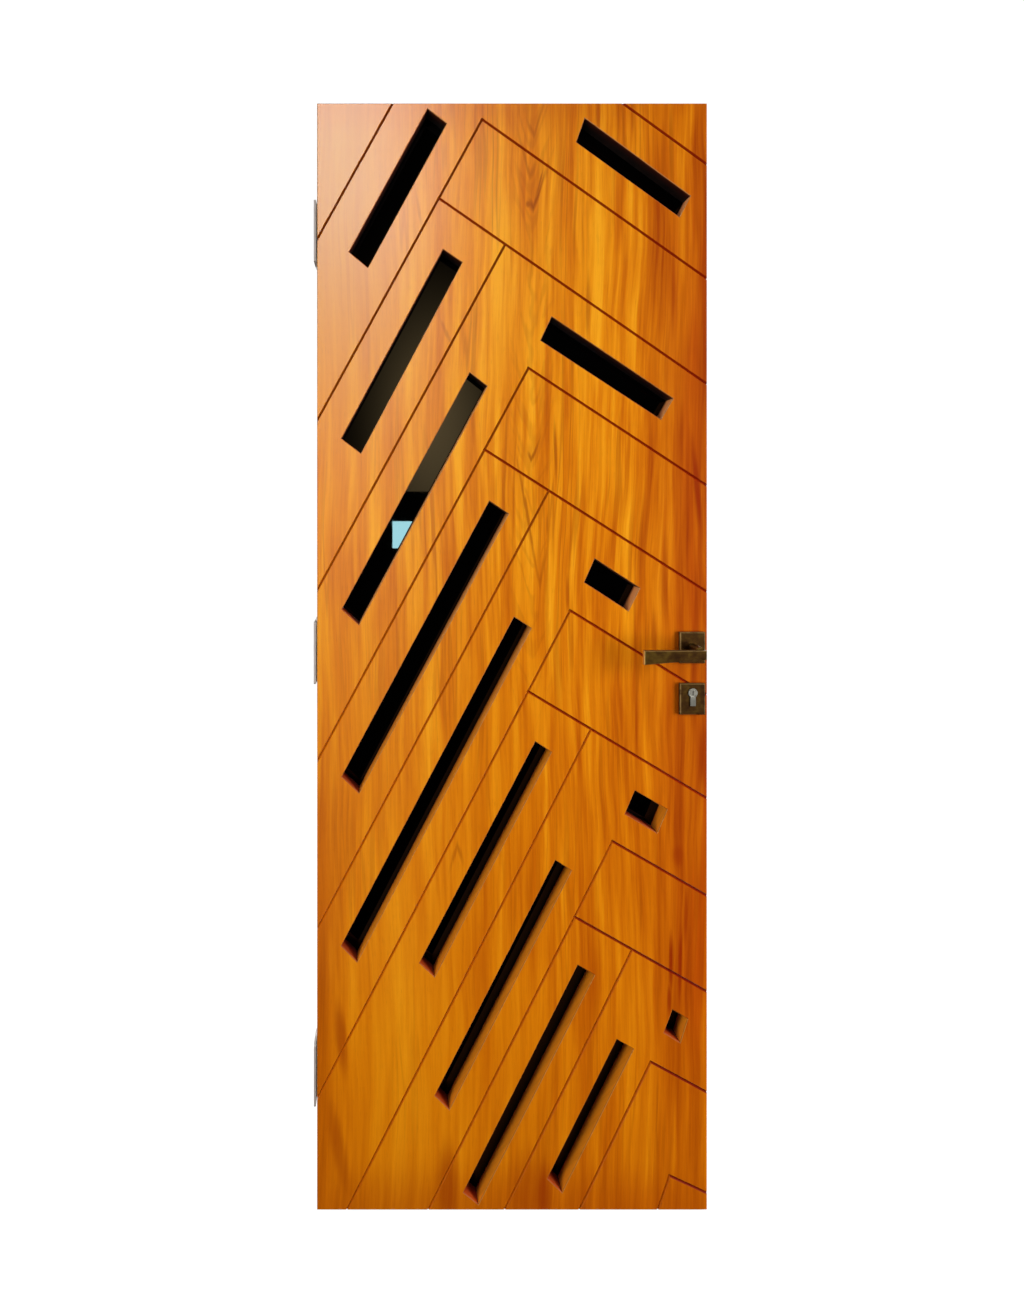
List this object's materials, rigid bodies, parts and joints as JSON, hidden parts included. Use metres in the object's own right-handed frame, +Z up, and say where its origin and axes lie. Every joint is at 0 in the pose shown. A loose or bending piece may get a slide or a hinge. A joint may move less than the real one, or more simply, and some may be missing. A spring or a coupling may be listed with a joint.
{
  "type": "security door",
  "caption": "Hinged security door leaf in varnished veneer with slanted glazed slots and V-grooves, a dark bronze lever set, a profile cylinder and barrel hinges.",
  "frame": {"origin": "centre of the middle hinge's jamb plate, on the face that is screwed to the frame", "axes": "+Z up, +X across the leaf from the hinges to the lock, +Y through the leaf from the outside face to the inside face"},
  "size_m": [0.75, 0.19, 2.1],
  "materials": {
    "veneer": "amber varnished veneer with vertical grain",
    "core": "dark grey primed steel",
    "glass": "dark tinted laminated glass",
    "bronze": "dark bronze with lighter worn edges",
    "cylinder": "satin nickel",
    "lock_steel": "brushed",
    "hinge": "light satin zinc paint"
  },
  "bodies": {
    "jamb_hinges": {"hinge_jamb_plate_bottom": "hinge", "hinge_jamb_plate_middle": "hinge", "hinge_jamb_plate_top": "hinge", "hinge_pin_bottom": "hinge", "hinge_pin_middle": "hinge", "hinge_pin_top": "hinge"},
    "leaf": {"back_panel": "veneer", "deadbolts": "lock_steel", "front_panel": "veneer", "glass_strip_left_1": "glass", "glass_strip_left_2": "glass", "glass_strip_left_3": "glass", "glass_strip_left_4": "glass", "glass_strip_left_5": "glass", "glass_strip_left_6": "glass", "glass_strip_left_7": "glass", "glass_strip_left_8": "glass", "glass_strip_left_9": "glass", "glass_strip_right_1": "glass", "glass_strip_right_2": "glass", "glass_strip_right_3": "glass", "glass_strip_right_4": "glass", "glass_strip_right_5": "glass", "hinge_leaf_plate_bottom": "hinge", "hinge_leaf_plate_middle": "hinge", "hinge_leaf_plate_top": "hinge", "inside_escutcheon": "bronze", "inside_rose": "bronze", "latch_bolt": "lock_steel", "lock_cylinder": "cylinder", "lock_faceplate": "lock_steel", "outside_escutcheon": "bronze", "outside_rose": "bronze", "steel_core": "core"},
    "lever": {"outside_lever": "bronze", "inside_lever": "bronze", "spindle": "lock_steel"}
  },
  "joints": [
    {"name": "leaf_swing", "type": "hinge", "parent": "jamb_hinges", "child": "leaf", "pos_m": [0.0085, 0.033, 0], "axis": [0, 0, 1], "range_deg": [0, 105]},
    {"name": "lever_turn", "type": "hinge", "parent": "leaf", "child": "lever", "pos_m": [0.719, -0.019, 0.018], "axis": [0, -1, 0], "range_deg": [0, 45], "stiffness_Nm_per_rad": 1.2, "springref_deg": -34.38}
  ]
}
